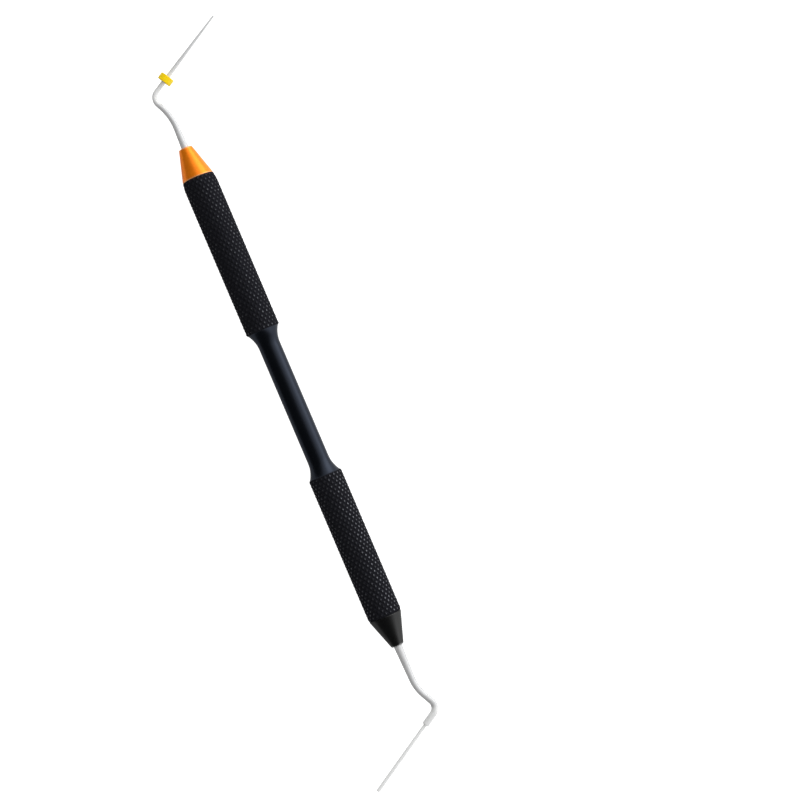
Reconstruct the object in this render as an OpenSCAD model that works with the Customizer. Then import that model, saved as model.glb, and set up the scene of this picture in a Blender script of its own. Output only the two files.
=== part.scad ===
// Double-ended root-filling instrument: a tapered spreader at one end of a knurled handle
// and a flat-ended plugger at the other, with a sliding depth stop on the spreader.
// It lies on its grips on z = 0. +X points along the handle towards the spreader, and both
// working ends are level with the handle's axis. The origin is the middle of its footprint.

/* [Handle] */
// Length of the turned bar between the two nose cones
handle_len = 104.7; // [92:0.1:126]
// Diameter over the two knurled grips
grip_d = 7.7; // [7:0.1:9.5]
// Length of the grip on the spreader side
front_grip_len = 36.6; // [28:0.1:40]
// Length of the grip on the plugger side
rear_grip_len = 33.8; // [28:0.1:40]
// Diameter of the plain waist between the grips
waist_d = 4.9; // [4.2:0.1:6]
// Radius of the hollow where a grip runs down into the waist
flare_r = 6.6; // [5:0.1:8]
// Chamfer on the edge of a grip beside the hollow
grip_edge = 0.35; // [0.1:0.05:0.5]
// How much the spreader side's grip narrows, on radius, where it meets its cone
front_lead = 0.21; // [0.05:0.01:0.3]
// Length over which the spreader side's grip narrows
front_lead_len = 1.7; // [0.5:0.1:3]
// How much the plugger side's grip narrows, on radius, where it meets its cone
rear_lead = 0.07; // [0.02:0.01:0.25]
// Length over which the plugger side's grip narrows
rear_lead_len = 0.5; // [0.3:0.1:2]

/* [Nose cones] */
// Length of each cone in front of the bar
cone_len = 7.1; // [5:0.1:10]
// Diameter of the spreader cone at its small end
spreader_cone_tip_d = 3.1; // [2.8:0.1:4]
// Diameter of the plugger cone at its small end
plugger_cone_tip_d = 2.9; // [2.7:0.1:4]
// Chamfer round each cone's small end
cone_rim = 0.1; // [0.05:0.05:0.2]
// How far the spreader cone stands in from the bar, on radius
spreader_cone_step = 0.04; // [0.02:0.01:0.15]
// Diameter of the threaded stud behind each cone
stud_d = 4; // [3:0.1:4.8]
// Length of the threaded stud behind each cone
stud_len = 6; // [4:0.1:9]
// Depth left free beyond the stud in the bar's socket
socket_relief = 0.8; // [0.4:0.1:1.5]
// Metal left between the end of a cone's bore and the end of its stud
bore_floor = 3.1; // [1.5:0.1:3.5]

/* [Spreader] */
// Steel diameter where it leaves the cone
spreader_root_d = 1.7; // [1.5:0.05:1.9]
// Steel diameter round the first, gentle curve
spreader_neck_d = 1.3; // [1.2:0.05:1.5]
// Steel diameter round the tight bend
spreader_bend_d = 1.1; // [0.9:0.05:1.2]
// Diameter of the rounded point
spreader_tip_d = 0.4; // [0.3:0.05:0.6]
// Straight part next to the cone
spreader_root_len = 4.8; // [3:0.1:8]
// Radius of the gentle curve, on the centre line
spreader_sweep_r = 12.6; // [9:0.1:16]
// Angle of the gentle curve
spreader_lean = 28; // [20:0.5:34]
// Straight part between the curve and the bend
spreader_mid_len = 0.5; // [0.3:0.1:3]
// Radius of the tight bend, on the centre line
spreader_bend_r = 2.1; // [1.6:0.1:3]
// Angle between the working part and the handle
spreader_turn = 60; // [45:0.5:75]
// Length of the working part, from the bend to the point
spreader_len = 20.9; // [16:0.1:26]

/* [Plugger] */
// Steel diameter where it leaves the cone
plugger_root_d = 1.9; // [1.6:0.05:2]
// Steel diameter round the first, gentle curve
plugger_neck_d = 1.4; // [1.3:0.05:1.45]
// Steel diameter round the tight bend
plugger_bend_d = 1.5; // [1.48:0.01:1.54]
// Diameter of the bored sleeve at its mouth
sleeve_d = 1.56; // [1.56:0.01:1.7]
// Straight part next to the cone
plugger_root_len = 7.9; // [5:0.1:11]
// Radius of the gentle curve, on the centre line
plugger_sweep_r = 9.5; // [7:0.1:13]
// Angle of the gentle curve
plugger_lean = 27.5; // [20:0.5:34]
// Straight part between the curve and the bend
plugger_mid_len = 2; // [0.5:0.1:4]
// Radius of the tight bend, on the centre line
plugger_bend_r = 2.2; // [1.7:0.1:3]
// Angle between the working part and the handle
plugger_turn = 58.6; // [45:0.2:75]
// Length of the bored sleeve after the bend
sleeve_len = 2.9; // [2.6:0.1:4]
// Chamfer round the sleeve's mouth
sleeve_edge = 0.12; // [0.05:0.01:0.2]
// Diameter of the plugger wire
wire_d = 0.78; // [0.5:0.02:0.9]
// Length of wire that shows in front of the sleeve
wire_len = 18; // [14:0.1:24]
// How much thinner the wire is, on radius, where it enters the sleeve
wire_seat_step = 0.03; // [0.02:0.01:0.05]
// How much more the wire's seat narrows, on radius, to its inner end
wire_seat_taper = 0.06; // [0.03:0.01:0.1]
// Length of wire inside the sleeve
wire_seat_len = 2.4; // [1.5:0.1:2.5]

/* [Depth stop] */
// Diameter of the stop
stop_d = 3.25; // [2.8:0.05:4]
// Thickness of the stop
stop_h = 1.55; // [1:0.05:2.2]
// Chamfer round the stop's two faces
stop_edge = 0.12; // [0.05:0.01:0.2]
// Distance from the end of the bend to the stop at rest
stop_rest = 2.6; // [0.4:0.1:12]

/* [Fits] */
// Radial gap of a tang or the wire in its bonded bore
bond_gap = 0.03; // [0.02:0.01:0.05]
// Radial gap of a stud in its socket
thread_gap = 0.05; // [0.03:0.01:0.1]
// Radial gap of the stop on the thickest steel it passes
stop_gap = 0.04; // [0.02:0.01:0.08]

/* [Hidden] */
$fn = 96;
grip_r = grip_d / 2;
waist_r = waist_d / 2;
front_end_r = grip_r - front_lead;
rear_end_r = grip_r - rear_lead;
flare_top_r = grip_r - grip_edge;
flare_angle = acos((flare_r - (flare_top_r - waist_r)) / flare_r);
flare_len = flare_r * sin(flare_angle);
flare_steps = 20;
stud_r = stud_d / 2;
tang_len = cone_len + stud_len - bore_floor;
tip_r = spreader_tip_d / 2;
wire_r = wire_d / 2;
wire_seat_r = wire_r - wire_seat_step;
wire_end_r = wire_seat_r - wire_seat_taper;
plugger_len = sleeve_len + wire_len;
stop_r = stop_d / 2;
// The stop's hole clears the steel right up to the bend.
stop_hole_r = spreader_bend_d / 2 + stop_gap;
// How much a bead at each end of a curve stands out, so that the lengths of steel overlap.
bead = 0.01;

// A shank's route away from its cone: the straight root, the gentle curve's radius and
// angle, the straight middle, the tight bend's radius, and the working part's angle.
spreader_route = [spreader_root_len, spreader_sweep_r, spreader_lean, spreader_mid_len,
                  spreader_bend_r, spreader_turn];
plugger_route = [plugger_root_len, plugger_sweep_r, plugger_lean, plugger_mid_len,
                 plugger_bend_r, plugger_turn];

// How far a point on the working part is along the handle from the cone's small end.
function along(route, work) =
    let (root = route[0], sweep_r = route[1], lean = route[2], mid = route[3],
         bend_r = route[4], turn = route[5])
    root + sweep_r * sin(lean) + mid * cos(lean)
    + bend_r * (sin(lean) + sin(turn)) + work * cos(turn);

// How far a point on the working part is from the handle's axis, on the bent side.
function aside(route, work) =
    let (sweep_r = route[1], lean = route[2], mid = route[3],
         bend_r = route[4], turn = route[5])
    work * sin(turn) + bend_r * (cos(lean) - cos(turn))
    - mid * sin(lean) - sweep_r * (1 - cos(lean));

front_reach = along(spreader_route, spreader_len - tip_r) + tip_r;
front_swing = aside(spreader_route, spreader_len - tip_r) + tip_r;
rear_reach = along(plugger_route, plugger_len) + wire_r * sin(plugger_turn);
rear_swing = aside(plugger_route, plugger_len) + wire_r * cos(plugger_turn);

// Where the middle of the handle lies, so that the origin is the middle of the footprint.
handle_x = (rear_reach - front_reach) / 2;
handle_y = (front_swing - rear_swing) / 2;
axis_z = grip_r;

black = [0.04, 0.04, 0.045];
orange = [0.92, 0.5, 0.06];
steel = [0.75, 0.76, 0.78];
nickel_titanium = [0.66, 0.66, 0.66];
yellow = [0.95, 0.8, 0.05];

// Moves what is drawn about the middle of the handle to where the handle lies.
module on_handle() {
    translate([handle_x, handle_y, axis_z]) children();
}

// Frames at the small end of each cone, with +X pointing away from the handle.
module front_end() {
    on_handle() translate([handle_len / 2 + cone_len, 0, 0]) children();
}

module rear_end() {
    on_handle() rotate([0, 0, 180]) translate([handle_len / 2 + cone_len, 0, 0]) children();
}

// A round bar along +X that changes from one radius to another.
module rod(len, r1, r2) {
    rotate([0, 90, 0]) cylinder(h = len, r1 = r1, r2 = r2);
}

// A profile of [radius, distance along +X] points turned about the X axis.
module turned(profile) {
    rotate([0, 90, 0]) rotate_extrude() polygon(profile);
}

// A round bar bent to the left (+Y) through an angle.
module bend_left(bend_r, angle, r) {
    translate([0, bend_r, 0]) rotate([0, 0, -90])
        rotate_extrude(angle = angle) translate([bend_r, 0]) circle(r = r);
}

// Carries on from the end of a bend to the left.
module after_left(bend_r, angle) {
    translate([bend_r * sin(angle), bend_r * (1 - cos(angle)), 0]) rotate([0, 0, angle])
        children();
}

// Carries on from the end of a shank's gentle curve.
module after_sweep(route) {
    translate([route[0], 0, 0]) after_left(route[1], route[2]) children();
}

// Carries on from the end of a shank's tight bend, along its working part.
module working_part(route) {
    after_sweep(route) translate([route[3], 0, 0])
        mirror([0, 1, 0]) after_left(route[4], route[2] + route[5]) children();
}

// A shank from its tang to the end of its tight bend.
module bent_shank(route, root_r, neck_r, bend_steel_r) {
    translate([-tang_len, 0, 0]) rod(tang_len, root_r, root_r);
    rod(route[0], root_r, neck_r);
    translate([route[0], 0, 0]) {
        sphere(r = neck_r + bead);
        bend_left(route[1], route[2], neck_r);
    }
    after_sweep(route) {
        sphere(r = neck_r + bead);
        rod(route[3], neck_r, bend_steel_r);
        translate([route[3], 0, 0]) {
            sphere(r = bend_steel_r + bead);
            mirror([0, 1, 0]) bend_left(route[4], route[2] + route[5], bend_steel_r);
        }
    }
    working_part(route) sphere(r = bend_steel_r + bead);
}

module handle() {
    front = handle_len / 2;
    rear = -handle_len / 2;
    front_edge = front - front_grip_len;
    rear_edge = rear + rear_grip_len;
    // The two hollows, each from its grip's edge to the waist.
    hollow = [for (i = [0:flare_steps])
        let (a = flare_angle * (1 - i / flare_steps))
        [waist_r + flare_r * (1 - cos(a)), flare_len - flare_r * sin(a)]];
    rear_hollow = [for (p = hollow) [p[0], rear_edge + p[1]]];
    front_hollow = [for (i = [flare_steps:-1:0]) [hollow[i][0], front_edge - hollow[i][1]]];
    color(black) on_handle() turned(concat(
        [
            [0, rear + stud_len + socket_relief],
            [stud_r + thread_gap, rear + stud_len + socket_relief],
            [stud_r + thread_gap, rear],
            [rear_end_r, rear],
            [grip_r, rear + rear_lead_len],
            [grip_r, rear_edge - grip_edge]
        ],
        rear_hollow,
        front_hollow,
        [
            [grip_r, front_edge + grip_edge],
            [grip_r, front - front_lead_len],
            [front_end_r, front],
            [stud_r + thread_gap, front],
            [stud_r + thread_gap, front - stud_len - socket_relief],
            [0, front - stud_len - socket_relief]
        ]
    ));
}

// A cone with its small end at x = 0, its stud behind it and a blind bore for a tang.
module nose_cone(base_r, small_r, bore_r) {
    turned([
        [bore_r, 0],
        [small_r - cone_rim, 0],
        [small_r, -cone_rim],
        [base_r, -cone_len],
        [stud_r, -cone_len],
        [stud_r, -cone_len - stud_len],
        [0, -cone_len - stud_len],
        [0, -tang_len],
        [bore_r, -tang_len]
    ]);
}

module spreader_cone() {
    color(orange) front_end() nose_cone(front_end_r - spreader_cone_step,
                                        spreader_cone_tip_d / 2, spreader_root_d / 2 + bond_gap);
}

module plugger_cone() {
    color(black) rear_end()
        nose_cone(rear_end_r, plugger_cone_tip_d / 2, plugger_root_d / 2 + bond_gap);
}

module spreader() {
    color(steel) front_end() {
        bent_shank(spreader_route, spreader_root_d / 2, spreader_neck_d / 2, spreader_bend_d / 2);
        working_part(spreader_route) {
            rod(spreader_len - tip_r, spreader_bend_d / 2, tip_r);
            translate([spreader_len - tip_r, 0, 0]) sphere(r = tip_r);
        }
    }
}

module plugger_shank() {
    sleeve_r = sleeve_d / 2;
    color(steel) rear_end() difference() {
        union() {
            bent_shank(plugger_route, plugger_root_d / 2, plugger_neck_d / 2, plugger_bend_d / 2);
            working_part(plugger_route) turned([
                [0, 0],
                [plugger_bend_d / 2, 0],
                [sleeve_r, sleeve_len - sleeve_edge],
                [sleeve_r - sleeve_edge, sleeve_len],
                [0, sleeve_len]
            ]);
        }
        working_part(plugger_route) turned([
            [0, sleeve_len - wire_seat_len],
            [wire_end_r + bond_gap, sleeve_len - wire_seat_len],
            [wire_seat_r + bond_gap, sleeve_len],
            [wire_seat_r + bond_gap, sleeve_len + sleeve_edge],
            [0, sleeve_len + sleeve_edge]
        ]);
    }
}

module plugger_tip() {
    color(nickel_titanium) rear_end() working_part(plugger_route) translate([sleeve_len, 0, 0])
        turned([
            [0, -wire_seat_len],
            [wire_end_r, -wire_seat_len],
            [wire_seat_r, 0],
            [wire_r, 0],
            [wire_r, wire_len],
            [0, wire_len]
        ]);
}

module depth_stop() {
    color(yellow) front_end() working_part(spreader_route) translate([stop_rest, 0, 0]) turned([
        [stop_hole_r, 0],
        [stop_r - stop_edge, 0],
        [stop_r, stop_edge],
        [stop_r, stop_h - stop_edge],
        [stop_r - stop_edge, stop_h],
        [stop_hole_r, stop_h]
    ]);
}

handle();
spreader_cone();
spreader();
plugger_cone();
plugger_shank();
plugger_tip();
depth_stop();
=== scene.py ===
"""A double-ended root-filling instrument: a knurled black handle with an orange and a black
nose cone, a tapered spreader with a yellow depth stop, and a flat-ended plugger.

Lengths are in millimetres, and become metres where a mesh, a material or the camera takes
them. X runs along the handle towards the spreader, and Z is up.
"""

import bpy
import numpy as np
from mathutils import Matrix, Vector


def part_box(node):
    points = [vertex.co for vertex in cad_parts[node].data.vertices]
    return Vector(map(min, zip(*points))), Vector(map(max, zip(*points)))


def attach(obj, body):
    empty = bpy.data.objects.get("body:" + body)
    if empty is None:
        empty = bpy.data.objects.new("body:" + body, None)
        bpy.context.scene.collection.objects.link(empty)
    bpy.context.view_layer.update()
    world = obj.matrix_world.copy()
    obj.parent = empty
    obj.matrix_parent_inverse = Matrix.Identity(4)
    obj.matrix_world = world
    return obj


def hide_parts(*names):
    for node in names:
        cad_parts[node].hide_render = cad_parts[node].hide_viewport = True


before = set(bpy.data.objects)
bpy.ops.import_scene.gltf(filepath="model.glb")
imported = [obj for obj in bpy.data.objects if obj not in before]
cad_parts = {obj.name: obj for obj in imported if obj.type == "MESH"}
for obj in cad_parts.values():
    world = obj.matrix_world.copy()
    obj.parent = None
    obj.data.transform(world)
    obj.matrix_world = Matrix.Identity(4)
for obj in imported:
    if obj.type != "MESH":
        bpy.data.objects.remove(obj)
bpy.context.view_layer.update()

# ---------------------------------------------------------------- sizes of the solids

MM = 0.001

handle_low, handle_high = (np.array(corner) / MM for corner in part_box("handle"))
AXIS_Y = (handle_low[1] + handle_high[1]) / 2
REAR, FRONT = handle_low[0], handle_high[0]

# The handle: radii of the grips, the waist and the hollows beside it, then the bevels at the
# grips' inner ends and at the ends of the bar.
GRIP_R, WAIST_R, FLARE_R = 3.85, 2.45, 6.6
GRIP_EDGE, END_EDGE = 0.35, 0.15
# Each grip's length, its radius at the end of the bar, and how far in it is at its full radius.
FRONT_GRIP, FRONT_END_R, FRONT_LEAD = 36.6, 3.64, 1.7
REAR_GRIP, REAR_END_R, REAR_LEAD = 33.8, 3.78, 0.5
# The sockets in its ends, the drill's pointed bottom, and a ring midway out on each end face.
SOCKET_R, SOCKET_DEPTH, DRILL_POINT, FACE_RING_R = 2.05, 6.8, 0.9, 3.0
# How far each way from a corner the outline is smoothed, and how far the knurl's own rows keep
# from one.
CORNER_EASE, CORNER_CLEAR = 0.05, 0.07

# The cones and their studs. A bore is TANG_LEN deep, and its tang ends just short of the bottom.
# Then each cone's radius at its base, at its tip and in its bore.
CONE_LEN, CONE_RIM = 7.1, 0.1
STUD_R, STUD_LEN, TANG_LEN = 2.0, 6.0, 10.0
ORANGE_CONE = (3.6, 1.55, 0.88)
BLACK_CONE = (3.78, 1.45, 0.98)

# Root length, gentle curve's radius and degrees, middle length, tight bend's radius and the
# degrees by which it leaves the handle's axis.
SPREADER_ROUTE = (4.8, 12.6, 28.0, 0.5, 2.1, 60.0)
PLUGGER_ROUTE = (7.9, 9.5, 27.5, 2.0, 2.2, 58.6)
# The shanks' tapers, as pairs of a distance and the radius there. The distances are from the
# cone in the first list of each, and from the end of the tight bend in the second.
SPREADER_ROOT = [(0, 0.85), (4.8, 0.68), (10.96, 0.62)]
SPREADER_WORKING = [(-3.2, 0.58), (0, 0.54), (8, 0.42)]
PLUGGER_ROOT = [(0, 0.95), (7.9, 0.71), (12.46, 0.70)]
PLUGGER_WORKING = [(-3.3, 0.74), (0, 0.76)]
# The distance between rings on a shank, the gap left at the bottom of a bore, and the bevel
# round a tang's end.
RING_STEP, BORE_GAP, TANG_BEVEL = 0.12, 0.03, 0.2
SPREADER_LEN, SPREADER_TIP_R = 20.9, 0.2

# The sleeve, the wire, which narrows to WIRE_END_R at its seated end, and its seat, which
# narrows from just over the wire's size to SEAT_END_R.
SLEEVE_LEN, SLEEVE_R, SLEEVE_EDGE = 2.9, 0.78, 0.12
WIRE_R, WIRE_LEN, WIRE_END_R = 0.39, 18.0, 0.3
WIRE_SEAT, SEAT_MOUTH_R, SEAT_END_R = 2.4, 0.405, 0.33

# The stop, and how far past the bend it rests. The dish in its faces starts STOP_RIM in from
# the outside, and is deepest STOP_RIM out from the hole.
STOP_R, STOP_H, STOP_HOLE_R, STOP_REST = 1.625, 1.55, 0.59, 2.6
STOP_DISH, STOP_RIM = 0.05, 0.25

# The knurl: starts round the bar, groove depth, how many grooves of each hand a line along the
# bar crosses in a millimetre, mesh rows to half a diamond, and where its top is cut flat.
KNURL_STARTS, KNURL_DEPTH = 22, 0.22
RIGHT_HAND, LEFT_HAND = 0.6614, 0.6023
KNURL_STEPS, KNURL_FLAT = 4, 0.72

# ---------------------------------------------------------------- surfaces


def skin(name, rings, cut=None, ring_shaped=False, knurl_height=None):
    """A closed mesh over a grid of points, shaped (rings, points round, 3), in millimetres.

    Each square of the grid becomes a face. A first or last ring of no size becomes one point.
    Where cut is given, each square is split along the corner pair that it chooses, and a
    ring_shaped grid joins its last ring to its first. Faces turn outwards: the sum over the
    triangles of their corners' triple product is six times the volume, and is made positive.
    Where knurl_height is given, each point keeps its value as an attribute of that name.
    """
    count, around = rings.shape[:2]
    index = np.arange(count * around).reshape(count, around)
    if not ring_shaped:
        index[0], index[-1] = index[0, 0], index[-1, 0]
    rows = np.vstack([index, index[:1]]) if ring_shaped else index
    here, there = rows[:-1], rows[1:]
    a, b = here, np.roll(here, -1, axis=1)
    c, d = np.roll(there, -1, axis=1), there
    split = np.zeros(a.shape, bool) if cut is None else cut
    first = np.where(split[..., None], np.stack([a, b, c], -1), np.stack([a, b, d], -1))
    second = np.where(split[..., None], np.stack([a, c, d], -1), np.stack([b, c, d], -1))
    faces = np.concatenate([first.reshape(-1, 3), second.reshape(-1, 3)])
    repeated = (faces == np.roll(faces, 1, axis=1)).any(axis=1)
    faces = faces[~repeated]
    used, faces = np.unique(faces, return_inverse=True)
    faces = faces.reshape(-1, 3)
    points = rings.reshape(-1, 3)[used] * MM
    p, q, r = (points[faces[:, k]] for k in range(3))
    if np.einsum("ij,ij->", p, np.cross(q, r)) < 0:
        faces = faces[:, ::-1]
    mesh = bpy.data.meshes.new(name)
    mesh.from_pydata(points.tolist(), [], faces.tolist())
    mesh.polygons.foreach_set("use_smooth", np.ones(len(faces), bool))
    if knurl_height is not None:
        mesh.attributes.new("knurl_height", "FLOAT", "POINT").data.foreach_set(
            "value", knurl_height.reshape(-1)[used])
    mesh.update()
    piece = bpy.data.objects.new(name, mesh)
    bpy.context.scene.collection.objects.link(piece)
    return piece


def eased(points, ease, steps=6):
    """A profile with its inner corners rounded, each by its own ease, in the points' order.

    A corner is swapped for a parabola that starts and ends the ease away along its two sides:
    (1-t)^2 start + 2t(1-t) corner + t^2 end, for t from 0 to 1.
    """
    points = np.array(points, float)
    ease = np.broadcast_to(np.array(ease, float), len(points) - 2)[:, None]
    corner = points[1:-1]
    back, ahead = points[:-2] - corner, points[2:] - corner
    start = corner + back / np.linalg.norm(back, axis=1, keepdims=True) * ease
    end = corner + ahead / np.linalg.norm(ahead, axis=1, keepdims=True) * ease
    t = np.linspace(0, 1, steps)[None, :, None]
    curve = (1 - t) ** 2 * start[:, None] + t**2 * end[:, None]
    curve = curve + 2 * t * (1 - t) * corner[:, None]
    return np.vstack([points[:1], curve.reshape(-1, 2), points[-1:]])


def turned(profile, around):
    """A profile of (distance along X, radius) turned about the X axis.

    A point at angle a is (x, r sin a, r cos a), for evenly spaced a.
    """
    a = np.linspace(0, 2 * np.pi, around, endpoint=False)
    x, r = profile[:, :1], profile[:, 1:]
    return np.stack(np.broadcast_arrays(x, r * np.sin(a), r * np.cos(a)), -1)


def shank_line(route, s):
    """Place and heading on a shank's centre line, at distances s from its cone.

    The line is straight, curves left evenly, is straight, bends right evenly and is straight.
    On a stretch that starts with heading h and turns k per millimetre, the heading after d is
    h + kd, and the place moves by the mean of the heading's direction times d, which is
    d sinc(kd/2) along the heading h + kd/2.
    """
    root, sweep_r, lean, middle, bend_r, turn = route
    lean, turn = np.radians(lean), np.radians(turn)
    endless = 1000.0
    lengths = np.array([root, sweep_r * lean, middle, bend_r * (lean + turn), endless])
    bending = np.array([0, 1 / sweep_r, 0, -1 / bend_r, 0])
    starts = np.concatenate([[0], np.cumsum(lengths)[:-1]])
    headings = np.concatenate([[0], np.cumsum(lengths * bending)[:-1]])

    def moved(heading, bend, d):
        half = bend * d / 2
        reach = d * np.sinc(half / np.pi)
        return np.stack([reach * np.cos(heading + half), reach * np.sin(heading + half)], -1)

    corners = np.vstack([[0, 0], np.cumsum(moved(headings, bending, lengths), axis=0)[:-1]])
    k = np.clip(np.searchsorted(starts, s, side="right") - 1, 0, 4)
    d = s - starts[k]
    return corners[k] + moved(headings[k], bending[k], d), headings[k] + bending[k] * d


def working_start(route):
    """Distance along a shank's centre line from its cone to the end of its tight bend."""
    root, sweep_r, lean, middle, bend_r, turn = route
    return root + sweep_r * np.radians(lean) + middle + bend_r * np.radians(lean + turn)


def along_shank(route, s, r, around):
    """Rings of radius r square to a shank's centre line, at distances s from its cone.

    A point at angle a is the line's point plus r cos a to its left plus r sin a upwards.
    """
    place, heading = shank_line(route, s)
    a = np.linspace(0, 2 * np.pi, around, endpoint=False)
    left = r[:, None] * np.cos(a)
    u = place[:, :1] - left * np.sin(heading)[:, None]
    v = place[:, 1:] + left * np.cos(heading)[:, None]
    return np.stack([u, v, r[:, None] * np.sin(a)], -1)


def tapers(root, working, bend, end):
    """The distances along a shank where its taper changes, and the radii there.

    Bend and the end's distance are from the cone, as the distances in root are. Those in
    working are from the bend, so it is added to them.
    """
    pairs = root + [(bend + distance, radius) for distance, radius in working] + [end]
    return np.array(pairs).T


def smoothed(s, knots, radii, reach, count):
    """The radii at s: the mean of count points on the tapers, evenly spaced within reach."""
    near = s[:, None] + np.linspace(-reach, reach, count)
    return np.interp(near, knots, radii).mean(axis=1)


def with_tang(s, r, tang_r):
    """A shank's distances and radii, with those of its bevelled, straight tang before them."""
    start, before_mouth = BORE_GAP - TANG_LEN, -0.2
    tang_s = [start, start, start + TANG_BEVEL, before_mouth]
    tang_radii = [0, tang_r - TANG_BEVEL, tang_r, tang_r]
    return np.concatenate([tang_s, s]), np.concatenate([tang_radii, r])


def at_end(rings, front):
    """Points drawn from a cone's small end outwards, moved to the front or the rear end.

    The front end is a shift. The rear end is half a turn about the vertical, then a shift.
    """
    side = 1.0 if front else -1.0
    cone_tip = FRONT + CONE_LEN if front else REAR - CONE_LEN
    return rings * [side, side, 1.0] + [cone_tip, AXIS_Y, GRIP_R]


# ---------------------------------------------------------------- pieces


def ramp(x):
    """Distance from a groove, as a share of the way to the next: 0 in a groove, 1 midway."""
    return 1 - np.abs(2 * (x % 1) - 1)


def make_handle():
    """The turned bar with its two knurled grips, its plain waist and a socket in each end.

    The outline is straight on the grips and the waist, and r = waist + R - sqrt(R^2 - d^2) in
    the hollows, where d is the distance from the waist. The radius is the crests', less the
    knurl's cut, but never more than the outline's. The knurl is two hands of helical grooves:
    with angle a in turns, starts x a + hand x x is whole in one hand's grooves, and
    starts x a - hand x x in the other's. Its height is the smaller of the two ramps, cut off
    flat near the top. The knurl height kept on each point is 0 in the deepest groove, 1 on a
    crest, and -1 on the waist, where the outline is well below the grooves, and on the ends.
    """
    hollow = np.sqrt(FLARE_R**2 - (FLARE_R - (GRIP_R - GRIP_EDGE - WAIST_R)) ** 2)
    rear_edge, front_edge = REAR + REAR_GRIP, FRONT - FRONT_GRIP
    rear_waist, front_waist = rear_edge + hollow, front_edge - hollow

    row = 1 / (KNURL_STEPS * (RIGHT_HAND + LEFT_HAND))
    knurl_rows = np.arange(np.ceil(REAR / row), np.floor(FRONT / row) + 1) * row
    corners = np.array([
        REAR, REAR + END_EDGE, REAR + REAR_LEAD, rear_edge - GRIP_EDGE, rear_edge,
        front_edge, front_edge + GRIP_EDGE, FRONT - FRONT_LEAD, FRONT - END_EDGE, FRONT])
    eased_corners = (corners[:, None] + [-CORNER_EASE, 0, CORNER_EASE])[1:-1].reshape(-1)
    in_grip = (knurl_rows < rear_edge) | (knurl_rows > front_edge)
    clear = np.abs(knurl_rows[:, None] - corners).min(axis=1) > CORNER_CLEAR
    hollow_rows = hollow * (1 - np.cos(np.linspace(0, np.pi / 2, 16)))[1:]
    waist_rows = np.linspace(rear_waist, front_waist, 29)[1:-1]
    x = np.sort(np.concatenate([
        knurl_rows[in_grip & clear], eased_corners, [REAR + 0.03, FRONT - 0.03],
        rear_edge + hollow_rows, front_edge - hollow_rows, waist_rows,
    ]))

    near = x[:, None] + np.linspace(-CORNER_EASE, CORNER_EASE, 5)
    straight = np.interp(near, corners, [
        REAR_END_R - END_EDGE, REAR_END_R, GRIP_R, GRIP_R, GRIP_R - GRIP_EDGE,
        GRIP_R - GRIP_EDGE, GRIP_R, GRIP_R, FRONT_END_R, FRONT_END_R - END_EDGE])
    from_waist = np.clip(np.maximum(rear_waist - near, near - front_waist), 0, hollow)
    hollowed = WAIST_R + FLARE_R - np.sqrt(FLARE_R**2 - from_waist**2)
    between_grips = (near > rear_edge) & (near < front_edge)
    outline = np.where(between_grips, hollowed, straight).mean(axis=1)[:, None]

    columns = 2 * KNURL_STEPS * KNURL_STARTS
    twist = (RIGHT_HAND - LEFT_HAND) / (2 * KNURL_STARTS)
    turns = np.arange(columns) / columns - twist * x[:, None]
    right = ramp(KNURL_STARTS * turns + RIGHT_HAND * x[:, None])
    left = ramp(KNURL_STARTS * turns - LEFT_HAND * x[:, None])
    height = np.clip(np.minimum(right, left) / KNURL_FLAT, 0, 1)
    crest = np.interp(x, [REAR, REAR + REAR_LEAD, FRONT - FRONT_LEAD, FRONT],
                      [REAR_END_R, GRIP_R, GRIP_R, FRONT_END_R])[:, None]
    r = np.minimum(crest - KNURL_DEPTH * (1 - height), outline)
    well_below = 0.05
    plain = np.clip((GRIP_R - KNURL_DEPTH - outline) / well_below, 0, 1)
    knurl_height = np.clip(1 - (crest - r) / KNURL_DEPTH, 0, 1) * (1 - plain) - plain

    a = 2 * np.pi * turns
    bar = np.stack([np.broadcast_to(x[:, None], r.shape), r * np.sin(a), r * np.cos(a)], -1)
    rear_end = socket_end(REAR, 1, bar[0], a[0])
    front_end = socket_end(FRONT, -1, bar[-1], a[-1])
    rings = np.concatenate([rear_end[::-1], bar, front_end]) + [0, AXIS_Y, GRIP_R]
    cut = np.zeros((len(rings) - 1, columns), bool)
    cut[len(rear_end):len(rear_end) + len(bar) - 1] = (left < right)[:-1]
    ends = np.full((len(rear_end), columns), -1.0)
    return skin("knurled_handle", rings, cut, knurl_height=np.concatenate([ends, knurl_height, ends]))


def socket_end(face, inwards, last_ring, angle):
    """One end of the bar: its face, and a socket drilled into it with a pointed bottom.

    The first ring is the bar's last one, brought to the face and a hundredth smaller. The
    others are a profile of (distance along X, radius) turned about the X axis.
    """
    shape = eased([
        [face, FACE_RING_R], [face, SOCKET_R], [face + inwards * SOCKET_DEPTH, SOCKET_R],
        [face + inwards * (SOCKET_DEPTH + DRILL_POINT), 0],
    ], [0.3, 0.1])
    x, r = shape[:, :1], shape[:, 1:]
    socket = np.stack(np.broadcast_arrays(x, r * np.sin(angle), r * np.cos(angle)), -1)
    lip = last_ring * [0, 0.99, 0.99] + [face, 0, 0]
    return np.concatenate([lip[None], socket])


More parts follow.
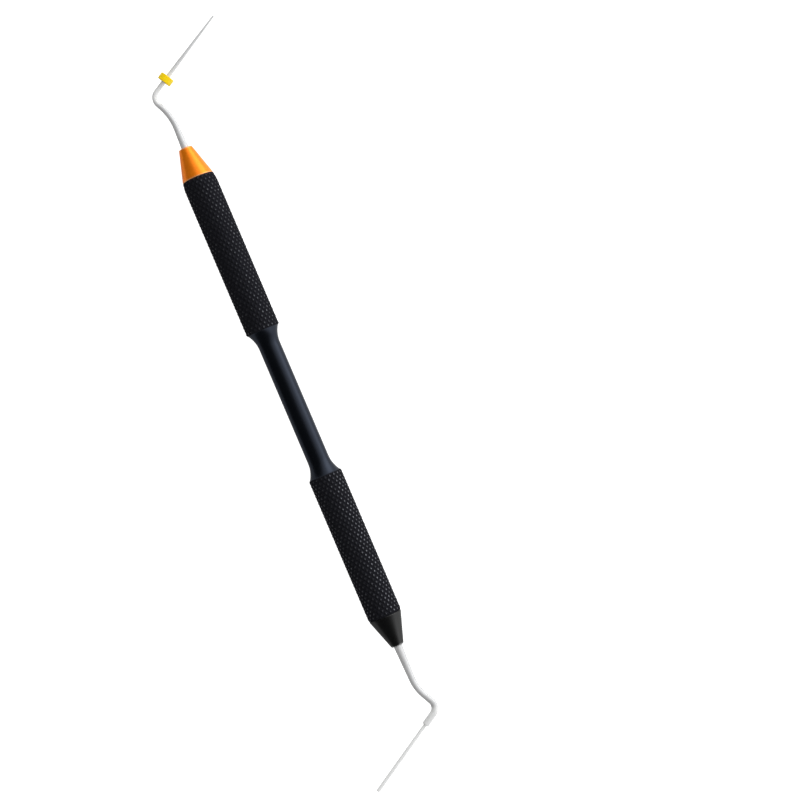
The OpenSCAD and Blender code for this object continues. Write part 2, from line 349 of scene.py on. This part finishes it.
def make_cone(name, base_r, tip_r, bore_r, front):
    """A nose cone with its stud, and the blind bore that the shank's tang sits in.

    One turned profile: the bore from its end to its mouth, the cone and the stud, with every
    corner eased. Each stretch of it is then halved.
    """
    profile = eased([
        [-TANG_LEN, 0], [-TANG_LEN, bore_r], [0, bore_r], [0, tip_r - CONE_RIM],
        [-CONE_RIM, tip_r], [-CONE_LEN, base_r], [-CONE_LEN, STUD_R],
        [-CONE_LEN - STUD_LEN, STUD_R], [-CONE_LEN - STUD_LEN, 0],
    ], [0.1, 0.15, 0.05, 0.05, 0.3, 0.2, 0.3])
    middles = profile[:-1] + (profile[1:] - profile[:-1]) * 0.5
    halved = np.stack([profile[:-1], middles], axis=1).reshape(-1, 2)
    profile = np.vstack([halved, profile[-1:]])
    return skin(name, at_end(turned(profile, 128), front))


def make_spreader():
    """The spreader: one bent steel rod, drawn down from the root to a rounded point.

    The radius follows a chain of straight tapers, smoothed all but the last stretch before
    the point. The point is half a ball: r = sqrt(R^2 - d^2), where d is the distance past the
    ball's middle.
    """
    bend = working_start(SPREADER_ROUTE)
    ball = bend + SPREADER_LEN - SPREADER_TIP_R
    point = ball + SPREADER_TIP_R * np.sin(np.linspace(0, np.pi / 2, 9))
    s = np.concatenate([np.arange(0.0, ball, RING_STEP), point])
    knots, radii = tapers(SPREADER_ROOT, SPREADER_WORKING, bend, (ball, SPREADER_TIP_R))
    r = smoothed(s, knots, radii, 0.9, 7)
    unsmoothed = 1.2
    r = np.where(s > ball - unsmoothed, np.interp(s, knots, radii), r)
    past = np.clip(s - ball, 0, SPREADER_TIP_R)
    r = np.where(s >= ball, np.sqrt(SPREADER_TIP_R**2 - past**2), r)
    s, r = with_tang(s, r, radii[0])
    return skin("spreader_shank", at_end(along_shank(SPREADER_ROUTE, s, r, 40), True))


def make_plugger_shank():
    """The plugger's shank: a bent steel rod that ends in a bored sleeve for the wire.

    The radius follows a smoothed chain of straight tapers to the sleeve's mouth, whose edges
    are eased, and the surface goes on down the bore to its closed end.
    """
    bend = working_start(PLUGGER_ROUTE)
    mouth = bend + SLEEVE_LEN
    s = np.arange(0.0, mouth - 0.3, RING_STEP)
    knots, radii = tapers(PLUGGER_ROOT, PLUGGER_WORKING, bend, (mouth, SLEEVE_R))
    r = smoothed(s, knots, radii, 1.2, 9)
    lip = eased([
        [s[-1], r[-1]], [mouth - SLEEVE_EDGE, SLEEVE_R], [mouth, SLEEVE_R - SLEEVE_EDGE],
        [mouth, SEAT_MOUTH_R], [mouth - WIRE_SEAT, SEAT_END_R], [mouth - WIRE_SEAT, 0],
    ], [0.06, 0.06, 0.03, 0.05])
    s = np.concatenate([s[:-1], lip[:, 0]])
    r = np.concatenate([r[:-1], lip[:, 1]])
    s, r = with_tang(s, r, radii[0])
    return skin("plugger_sleeve_shank", at_end(along_shank(PLUGGER_ROUTE, s, r, 48), False))


def make_wire():
    """The plugger wire: a straight round wire, seated in the sleeve and cut off square.

    One turned profile along the working part, with its end's edge eased.
    """
    mouth = working_start(PLUGGER_ROUTE) + SLEEVE_LEN
    seated_end = BORE_GAP - WIRE_SEAT
    profile = eased([
        [seated_end, 0], [seated_end, WIRE_END_R], [0, WIRE_R - 0.01], [0.02, WIRE_R],
        [WIRE_LEN, WIRE_R], [WIRE_LEN, 0],
    ], [0.05, 0.005, 0.005, 0.04])
    first, last = 0.5, WIRE_LEN - 0.5
    stretch = np.linspace(first, last, 36)
    where = np.searchsorted(profile[:, 0], first)
    profile = np.insert(profile, where, np.stack([stretch, stretch * 0 + WIRE_R], -1), axis=0)
    rings = along_shank(PLUGGER_ROUTE, mouth + profile[:, 0], profile[:, 1], 40)
    return skin("plugger_wire", at_end(rings, False))


def make_stop():
    """The depth stop: a short cylinder of silicone with a hole for the spreader.

    A turned ring on the working part, with its corners eased and its faces slightly dished.
    """
    start = working_start(SPREADER_ROUTE) + STOP_REST
    inner, outer = STOP_HOLE_R + STOP_RIM, STOP_R - STOP_RIM
    outline = [
        [0.02, STOP_HOLE_R], [STOP_DISH, inner], [0, outer], [0, STOP_R],
        [STOP_H, STOP_R], [STOP_H, outer], [STOP_H - STOP_DISH, inner],
        [STOP_H - 0.02, STOP_HOLE_R], [STOP_H / 2, STOP_HOLE_R],
    ]
    looped = np.vstack([outline[-1:], outline, outline[:1]])
    profile = eased(looped, [0.04, 0.1, 0.1, 0.16, 0.16, 0.1, 0.1, 0.04, 0.2])[1:-1]
    rings = along_shank(SPREADER_ROUTE, start + profile[:, 0], profile[:, 1], 72)
    return skin("silicone_stop", at_end(rings, True), ring_shaped=True)


# ---------------------------------------------------------------- finishes


def join(value, target):
    """Links a Wire to an input, or sets the input to a plain value."""
    if isinstance(value, Wire):
        value.tree.links.new(value.socket, target)
    else:
        target.default_value = value


class Wire:
    """One output of a node in a material. Arithmetic on it adds Math nodes."""

    def __init__(self, tree, socket):
        self.tree, self.socket = tree, socket

    def node(self, kind, settings=None, output=0, **inputs):
        """The output of a new node, with its settings made first, then its inputs.

        An input is named by its socket with spaces as underscores, or by its number as i0.
        """
        made = self.tree.nodes.new(kind)
        for name, value in (settings or {}).items():
            setattr(made, name, value)
        for name, value in inputs.items():
            numbered = name[0] == "i" and name[1:].isdigit()
            join(value, made.inputs[int(name[1:]) if numbered else name.replace("_", " ")])
        return Wire(self.tree, made.outputs[output])

    def maths(self, operation, *values):
        """The output of a new Math node on these values."""
        numbered = {f"i{k}": value for k, value in enumerate(values)}
        return self.node("ShaderNodeMath", {"operation": operation}, **numbered)

    def __add__(self, other):
        return self.maths("ADD", self, other)

    def __radd__(self, other):
        return self.maths("ADD", other, self)

    def __sub__(self, other):
        return self.maths("SUBTRACT", self, other)

    def __rsub__(self, other):
        return self.maths("SUBTRACT", other, self)

    def __mul__(self, other):
        return self.maths("MULTIPLY", self, other)

    def __rmul__(self, other):
        return self.maths("MULTIPLY", other, self)

    def between(self, low, high):
        """0 at low, 1 at high, and smooth in between."""
        return self.node("ShaderNodeMapRange", {"interpolation_type": "SMOOTHSTEP"},
                         Value=self, From_Min=low, From_Max=high)

    def along(self, axis, low, high):
        """On axis 0 (X) or 1 (Y), 0 at low millimetres, 1 at high, and smooth in between."""
        distance = self.node("ShaderNodeSeparateXYZ", output=axis, Vector=self)
        return distance.between(low * MM, high * MM)

    def noise(self, scale, detail=2.0, stretch=(1, 1, 1)):
        """Noise between 0 and 1 of so many lumps a millimetre, on this place's coordinates."""
        place = self.node("ShaderNodeVectorMath", {"operation": "MULTIPLY"},
                          i0=self, i1=tuple(scale / MM * k for k in stretch))
        return place.node("ShaderNodeTexNoise", Vector=place, Scale=1.0, Detail=detail)

    def mix(self, low, high):
        """A colour between low and high by this amount."""
        return self.node("ShaderNodeMix", {"data_type": "RGBA"}, 2, i0=self,
                         i6=low if isinstance(low, Wire) else (*low, 1.0),
                         i7=high if isinstance(high, Wire) else (*high, 1.0))


def finish(name):
    """A new material: its surface node, and the object's own coordinates as a Wire."""
    material = bpy.data.materials.new(name)
    material.use_nodes = True
    tree = material.node_tree
    surface = tree.nodes["Principled BSDF"]
    place = Wire(tree, tree.nodes.new("ShaderNodeTexCoord").outputs["Object"])
    return material, surface, place


def set_surface(surface, **values):
    """Gives the surface's inputs, named with underscores for spaces, a Wire or a value."""
    for name, value in values.items():
        join(value, surface.inputs[name.replace("_", " ")])


def bump(place, height, strength, distance):
    """A normal roughened by height, a Wire, over a distance in millimetres."""
    return place.node("ShaderNodeBump", Height=height, Strength=strength,
                      Distance=distance * MM)


def edge_highlight_and_wear(place, edge, inwards, band):
    """How pale a cone is near its edge, broken up by noise: a painted edge highlight, partly dye
    rubbed off.

    Edge is its distance along X, and inwards is 1 or -1, for the way from there to the cone's
    middle. The band is two distances in from the edge: where the paling starts, and where
    it is full.
    """
    inner, outer = (edge + inwards * distance for distance in band)
    return place.along(0, inner, outer) * (0.5 + place.noise(1.5, 2.0) * 0.8)


# Bands of painted edge highlight, partly rubbed dye, at a cone's base and at its tip.
BASE_BAND, TIP_BAND = (0.35, 0.08), (0.38, 0.20)


def anodised_black(name, knurled):
    """Black dyed, sealed aluminium: satin where it is smooth, and dull down in the knurl.

    The knurl_height attribute is 0 in a groove, 1 on a crest and -1 where the bar is plain. The
    grooves are painted darker than the plain bar, as painted shade. The crests are paler, as
    painted highlights that are partly burnishing by handling, some more than others, and the
    rear grip's more than the front's.
    What isn't knurled is the cone, whose tip has a paler band of painted edge highlight, partly
    dye rubbed off.
    """
    material, surface, place = finish(name)
    cloud = place.noise(0.3, 3.0)
    grain = place.noise(15.0, 2.0)
    lines = place.noise(9.0, 3.0, (1, 0.02, 0.02))
    mottle = cloud * 0.6 + grain * 0.4
    rough = 0.25 + cloud * 0.06 + lines * 0.08
    metal, rim = 1.0, 0.6
    if knurled:
        knurl_height = place.node("ShaderNodeAttribute", {"attribute_name": "knurl_height"}, 2)
        crest_highlight_and_burnish = knurl_height.between(0.8, 1.0)
        plain = knurl_height.between(-0.1, -0.9)
        # How pale each crest is, partly wear and partly painted highlight, paler towards the
        # rear grip.
        crest_wear_and_highlight = (place.noise(1.1, 1.0) + place.along(0, 30, -30) * 0.15).between(0.4, 0.8)
        # Painted shade down in the grooves, and painted highlights on the crests, partly
        # burnished.
        groove_painted_shade = (0.012, 0.012, 0.015)
        crest = crest_wear_and_highlight.mix((0.035, 0.036, 0.040), (0.150, 0.154, 0.168))
        # The plain bar's blue tint is a painted reflection of the bluish light that it mirrors.
        smooth = mottle.mix((0.024, 0.028, 0.038), (0.032, 0.037, 0.049))
        colour = plain.mix(crest_highlight_and_burnish.mix(groove_painted_shade, crest), smooth)
        rough = rough + (1 - crest_highlight_and_burnish - plain) * 0.25
        metal, rim = 0.5 + (crest_highlight_and_burnish + plain) * 0.5, 0.7
    else:
        dyed = mottle.mix((0.042, 0.042, 0.042), (0.052, 0.052, 0.052))
        # Painted edge highlight round the cone's tip, partly dye rubbed off.
        at_tip = edge_highlight_and_wear(place, REAR - CONE_LEN, 1, TIP_BAND)
        colour = (at_tip * 0.9).mix(dyed, (0.20, 0.20, 0.20))
    set_surface(surface, Base_Color=colour, Roughness=rough, Metallic=metal,
                Specular_IOR_Level=0.0, Specular_Tint=(rim, rim, rim, 1.0),
                Normal=bump(place, lines * 0.5 + grain * 0.5, 0.25, 0.004))
    return material


def anodised_orange():
    """Orange dyed aluminium, turned and then blasted lightly, so fine rings still show.

    The cone's base has a paler band of painted edge highlight, partly dye rubbed off, and its
    tip a fainter one.
    """
    material, surface, place = finish("orange_anodised_aluminium")
    cloud = place.noise(0.6, 2.0)
    rings = place.noise(10.0, 3.0, (1, 0.02, 0.02))
    grain = place.noise(16.0, 2.0)
    dyed = (cloud * 0.6 + rings * 0.4).mix((0.92, 0.19, 0.003), (0.98, 0.26, 0.006))
    # Painted edge highlights at the cone's base and tip, partly dye rubbed off.
    at_base = edge_highlight_and_wear(place, FRONT, 1, BASE_BAND)
    at_tip = edge_highlight_and_wear(place, FRONT + CONE_LEN, -1, TIP_BAND)
    colour = ((at_base + at_tip * 0.5) * 0.6).mix(dyed, (1.0, 0.62, 0.30))
    rough = 0.22 + rings * 0.12 + grain * 0.05
    set_surface(surface, Base_Color=colour, Roughness=rough, Metallic=0.6,
                Specular_IOR_Level=0.8, Specular_Tint=(1.0, 0.8, 0.6, 1.0),
                Normal=bump(place, rings * 0.6 + grain * 0.4, 0.3, 0.004))
    return material


# Along X, between which distances the blasting sets in at the front bend and at the rear one,
# and most of it fades out again beyond the front one.
FRONT_BLAST, REAR_BLAST, FRONT_FADE = (71.5, 74.0), (-72.5, -74.0), (74.5, 81.0)


def satin_metal(name, low, high, metal, blasted):
    """A lightly brushed metal: satin, with fine grain and faint marks round the rod.

    If it is blasted, the bends and what lies next beyond them, at both ends of the
    instrument, are paler and more matt than the rest.
    """
    material, surface, place = finish(name)
    cloud = place.noise(0.8, 2.0)
    grain = place.noise(18.0, 2.0)
    marks = place.noise(12.0, 3.0, (1, 0.25, 1))
    colour = (cloud * 0.4 + marks * 0.6).mix(low, high)
    rough = 0.50 + cloud * 0.05 + marks * 0.08
    if blasted:
        matt = place.along(0, *FRONT_BLAST) * (1 - place.along(0, *FRONT_FADE) * 0.8)
        matt = matt + place.along(0, *REAR_BLAST)
        colour = (matt * 0.8).mix(colour, (0.73, 0.73, 0.72))
        metal = metal - matt * 0.16
    set_surface(surface, Base_Color=colour, Roughness=rough, Metallic=metal,
                Specular_IOR_Level=0.2, Specular_Tint=(0.12, 0.12, 0.12, 1),
                Normal=bump(place, marks * 0.6 + grain * 0.4, 0.25, 0.003))
    return material


def yellow_silicone():
    """Moulded yellow silicone rubber: soft gloss, with a faint cloudiness in the colour."""
    material, surface, place = finish("yellow_silicone")
    cloud = place.noise(0.7, 2.0)
    grain = place.noise(10.0, 2.0)
    colour = (cloud * 0.7 + grain * 0.3).mix((0.70, 0.48, 0.002), (0.80, 0.58, 0.003))
    set_surface(surface, Base_Color=colour, Roughness=0.38 + grain * 0.12,
                Specular_IOR_Level=0.3,
                Subsurface_Weight=0.15, Subsurface_Scale=0.6 * MM,
                Normal=bump(place, grain, 0.2, 0.004))
    return material


def dress(piece, material, body, node):
    """Gives a piece its finish, the body it rides on and the node it stands for."""
    piece.data.materials.append(material)
    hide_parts(node)
    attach(piece, body)


black = anodised_black("black_anodised_grip", knurled=True)
smooth_black = anodised_black("black_anodised_cone", knurled=False)
orange = anodised_orange()
steel = satin_metal("satin_stainless_steel", (0.56, 0.56, 0.56), (0.64, 0.64, 0.64),
                    metal=0.5, blasted=True)
wire_metal = satin_metal("satin_nickel_titanium", (0.72, 0.72, 0.71), (0.80, 0.80, 0.79),
                         metal=0.3, blasted=False)
silicone = yellow_silicone()

dress(make_handle(), black, "instrument", "handle")
dress(make_cone("orange_nose_cone", *ORANGE_CONE, front=True), orange,
      "instrument", "spreader_cone")
dress(make_cone("black_nose_cone", *BLACK_CONE, front=False), smooth_black,
      "instrument", "plugger_cone")
dress(make_spreader(), steel, "instrument", "spreader")
dress(make_plugger_shank(), steel, "instrument", "plugger_shank")
dress(make_wire(), wire_metal, "instrument", "plugger_tip")
dress(make_stop(), silicone, "stop", "depth_stop")

# ---------------------------------------------------------------- floor, light and camera


def seen(tree):
    """1 for what the camera sees directly, and 0 for what lights or mirrors something."""
    return Wire(tree, tree.nodes.new("ShaderNodeLightPath").outputs["Is Camera Ray"])


def lean(direction, way):
    """How far a direction leans a way: 1 along it, 0 square to it and -1 against it."""
    return direction.node("ShaderNodeVectorMath", {"operation": "DOT_PRODUCT"}, "Value",
                          i0=direction, i1=way)


def make_floor():
    """A flat sheet under the grips, two metres each way.

    The camera sees it pure white. What it throws up onto the instrument is a glow of its own,
    fainter, and painted: brighter on the -Y side as a painted pool of light, and dimmer on the
    +Y side as painted shade where the handle's shadow would fall.
    """
    mesh = bpy.data.meshes.new("floor")
    corners = [(-1, -1, 0), (1, -1, 0), (1, 1, 0), (-1, 1, 0)]
    mesh.from_pydata(corners, [], [(0, 1, 2, 3)])
    floor = bpy.data.objects.new("floor", mesh)
    bpy.context.scene.collection.objects.link(floor)
    material, surface, place = finish("pale_floor")
    tone = place.noise(0.05, 2.0).mix((0.48, 0.48, 0.48), (0.50, 0.50, 0.50))
    # Painted light: the floor glows brighter on -Y, and dimmer on +Y as a painted shadow of the
    # handle.
    glow = place.along(1, 8, -8).mix((0.12, 0.12, 0.12), (0.75, 0.75, 0.75))
    set_surface(surface, Base_Color=tone, Roughness=0.9, Specular_IOR_Level=0.0,
                Emission_Color=seen(place.tree).mix(glow, (0.9, 0.9, 0.9)),
                Emission_Strength=1.0)
    floor.data.materials.append(material)


def make_light():
    """A dim tent with a bright wall and a bright end, and a soft lamp above.

    The wall is towards +X -Y: the brightness rises in two smooth steps on how far a direction
    leans that way. The end is towards -X -Y, and is one more such step. The camera sees the
    tent white all round. The lamp above lights matt surfaces only.
    """
    world = bpy.data.worlds.new("studio")
    bpy.context.scene.world = world
    world.use_nodes = True
    tree = world.node_tree
    direction = Wire(tree, tree.nodes.new("ShaderNodeTexCoord").outputs["Generated"])
    dim = 0.08
    wall = lean(direction, (0.5, -0.866, 0.0))
    end = lean(direction, (-0.866, -0.5, 0.0))
    glow = dim + wall.between(0.1, 0.65) + wall.between(0.66, 0.9) * 1.9
    glow = glow + end.between(0.8, 0.96) * 1.5
    camera = seen(tree)
    strength = camera * 0.93 + (1 - camera) * glow
    tree.links.new(strength.socket, tree.nodes["Background"].inputs["Strength"])
    tree.nodes["Background"].inputs["Color"].default_value = (0.98, 0.99, 1.0, 1.0)

    lamp = bpy.data.lights.new("soft_lamp", "AREA")
    lamp.shape, lamp.size, lamp.energy = "DISK", 0.6, 4.0
    lamp_object = bpy.data.objects.new("soft_lamp", lamp)
    lamp_object.location = (0, 0, 0.7)
    lamp_object.visible_glossy = False
    lamp_object.visible_camera = False
    bpy.context.scene.collection.objects.link(lamp_object)


def make_camera():
    """A long lens straight above, half a metre up, turned so that the handle slants.

    It looks at a point behind the front cone's tip and to the right of the handle's axis. Up
    in its view is the direction (up_x, up_y) on the floor.
    """
    height, width, sensor = 500.0, 176.0, 36.0
    behind_tip, right_of_axis = 69.476, 21.682
    up_x, up_y = 0.91954, -0.39299
    centre_x, centre_y = FRONT + CONE_LEN - behind_tip, AXIS_Y - right_of_axis
    data = bpy.data.cameras.new("camera")
    data.sensor_width, data.lens = sensor, sensor * height / width
    data.clip_start, data.clip_end = 0.01, 10.0
    camera = bpy.data.objects.new("camera", data)
    bpy.context.scene.collection.objects.link(camera)
    turn = Matrix(((up_y, up_x, 0), (-up_x, up_y, 0), (0, 0, 1)))
    place = Matrix.Translation((centre_x * MM, centre_y * MM, (height + GRIP_R) * MM))
    camera.matrix_world = place @ turn.to_4x4()
    bpy.context.scene.camera = camera


make_floor()
make_light()
make_camera()
bpy.context.scene.view_settings.view_transform = "Standard"
